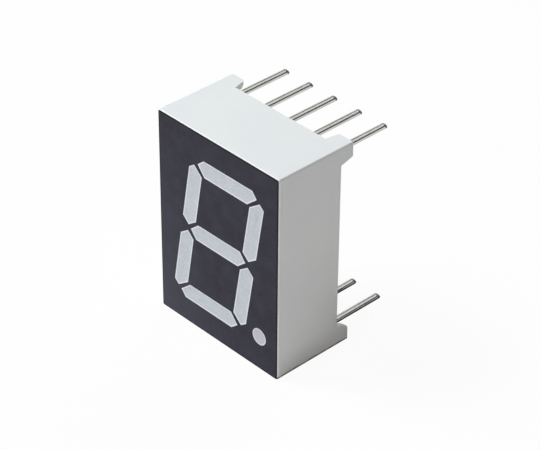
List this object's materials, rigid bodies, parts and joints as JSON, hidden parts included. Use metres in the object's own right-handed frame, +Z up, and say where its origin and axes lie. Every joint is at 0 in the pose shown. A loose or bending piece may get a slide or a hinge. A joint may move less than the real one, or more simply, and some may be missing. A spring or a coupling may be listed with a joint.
{
  "type": "seven segment display",
  "caption": "Light display for one digit with a decimal point: milky slanted strokes in a dark face on a white moulded box, with round leads behind for a circuit board.",
  "frame": {"origin": "middle of the rectangle of leads, in the plane of the circuit board that the four feet seat on", "axes": "+X to the right across the face seen from the front, +Y from the face to the back along the leads, +Z up the digit"},
  "size_m": [0.0126, 0.0118, 0.0176],
  "materials": {
    "housing": "matt moulded white",
    "ink": "matt printed dark blue grey",
    "light_resin": "milky and matt",
    "board": "bare laminate",
    "copper": "satin copper",
    "back_resin": "glossy cast resin",
    "chip": "crystal",
    "silver_resin": "silver filled",
    "bond_wire": "drawn wire",
    "lead_tin": "bright tinned",
    "solder": "bright"
  },
  "bodies": {
    "root": {"reflector_housing": "housing", "face_ink": "ink", "segment_a": "light_resin", "segment_b": "light_resin", "segment_c": "light_resin", "segment_d": "light_resin", "segment_e": "light_resin", "segment_f": "light_resin", "segment_g": "light_resin", "decimal_point": "light_resin", "circuit_board": "board", "circuit_tracks": "copper", "back_resin": "back_resin", "led_chip_a": "chip", "led_chip_b": "chip", "led_chip_c": "chip", "led_chip_d": "chip", "led_chip_e": "chip", "led_chip_f": "chip", "led_chip_g": "chip", "led_chip_dp": "chip", "die_bond_a": "silver_resin", "die_bond_b": "silver_resin", "die_bond_c": "silver_resin", "die_bond_d": "silver_resin", "die_bond_e": "silver_resin", "die_bond_f": "silver_resin", "die_bond_g": "silver_resin", "die_bond_dp": "silver_resin", "bond_wire_a": "bond_wire", "bond_wire_b": "bond_wire", "bond_wire_c": "bond_wire", "bond_wire_d": "bond_wire", "bond_wire_e": "bond_wire", "bond_wire_f": "bond_wire", "bond_wire_g": "bond_wire", "bond_wire_dp": "bond_wire", "lead_1": "lead_tin", "lead_2": "lead_tin", "lead_3": "lead_tin", "lead_4": "lead_tin", "lead_5": "lead_tin", "lead_6": "lead_tin", "lead_7": "lead_tin", "lead_8": "lead_tin", "lead_9": "lead_tin", "lead_10": "lead_tin", "solder_1": "solder", "solder_2": "solder", "solder_3": "solder", "solder_4": "solder", "solder_5": "solder", "solder_6": "solder", "solder_7": "solder", "solder_8": "solder", "solder_9": "solder", "solder_10": "solder"}
  },
  "joints": []
}
